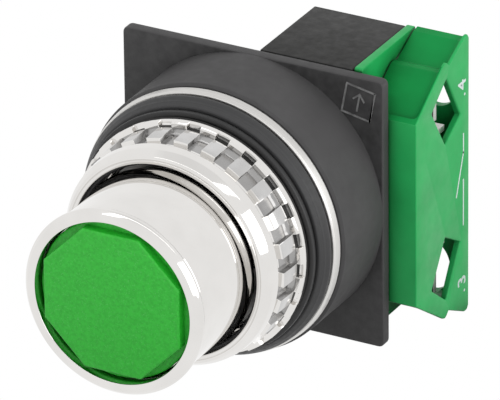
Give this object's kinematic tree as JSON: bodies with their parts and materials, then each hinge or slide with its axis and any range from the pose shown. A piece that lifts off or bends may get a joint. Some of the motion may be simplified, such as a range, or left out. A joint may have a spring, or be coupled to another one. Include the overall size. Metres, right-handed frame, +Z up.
{
  "type": "industrial push button",
  "caption": "Momentary push button for a 30.5 mm panel hole: chromed cup with a green face, ring nut, black body on a square plate and a green contact block behind.",
  "frame": {"origin": "on the button's axis, in the plane that the back of the panel rests on", "axes": "the button's front faces -Y, +Y goes behind the panel, +X is to the right and +Z is up"},
  "size_m": [0.0506, 0.0661, 0.0482],
  "materials": {
    "green_button": "satin green plastic with a fine grain",
    "green_block": "satin green plastic",
    "chrome": "bright chrome plate",
    "zinc": "plain zinc-plated metal",
    "steel": "plain steel",
    "brass": "bare contact alloy",
    "black_body": "satin black plastic",
    "black_plastic": "satin black plastic",
    "black_rubber": "matt black rubber",
    "cream_plastic": "cream plastic"
  },
  "bodies": {
    "operator": {"return_spring": "steel", "cup_seal": "black_rubber", "bezel_ring_nut": "chrome", "slip_washer": "black_plastic", "panel_gasket": "black_rubber", "spacer_ring": "zinc", "threaded_barrel": "zinc", "barrel_screw_upper": "steel", "barrel_screw_lower": "steel", "operator_body": "black_body", "aux_block_housing": "black_body", "aux_block_cover": "black_body", "block_screw_upper": "steel", "block_screw_lower": "steel", "stack_screw_upper": "steel", "stack_screw_lower": "steel", "contact_block_body": "green_block", "contact_block_cover": "green_block", "contact_spring": "steel", "fixed_contact_upper": "zinc", "fixed_contact_lower": "zinc", "clamp_plate_upper": "zinc", "clamp_plate_lower": "zinc", "terminal_screw_upper": "steel", "terminal_screw_lower": "steel"},
    "button": {"button_insert": "green_button", "button_cap": "chrome", "cap_screw": "steel", "plunger_stem": "steel", "retaining_clip": "steel", "cross_bar": "black_plastic", "cross_bar_screw": "steel"},
    "contact_carrier": {"contact_plunger": "cream_plastic", "contact_bridge": "brass"}
  },
  "joints": [
    {"name": "button_slide", "type": "slide", "parent": "operator", "child": "button", "axis": [0, 1, 0], "range_m": [0, 0.0045], "stiffness_N_per_m": 800, "springref_m": -0.008, "deforming": ["return_spring"]},
    {"name": "contact_slide", "type": "slide", "parent": "operator", "child": "contact_carrier", "axis": [0, 1, 0], "range_m": [0, 0.0045], "stiffness_N_per_m": 100, "springref_m": -0.003, "deforming": ["contact_spring"]}
  ],
  "couplings": [
    {"joint": "contact_slide", "follows": "button_slide", "ratio": 1}
  ]
}
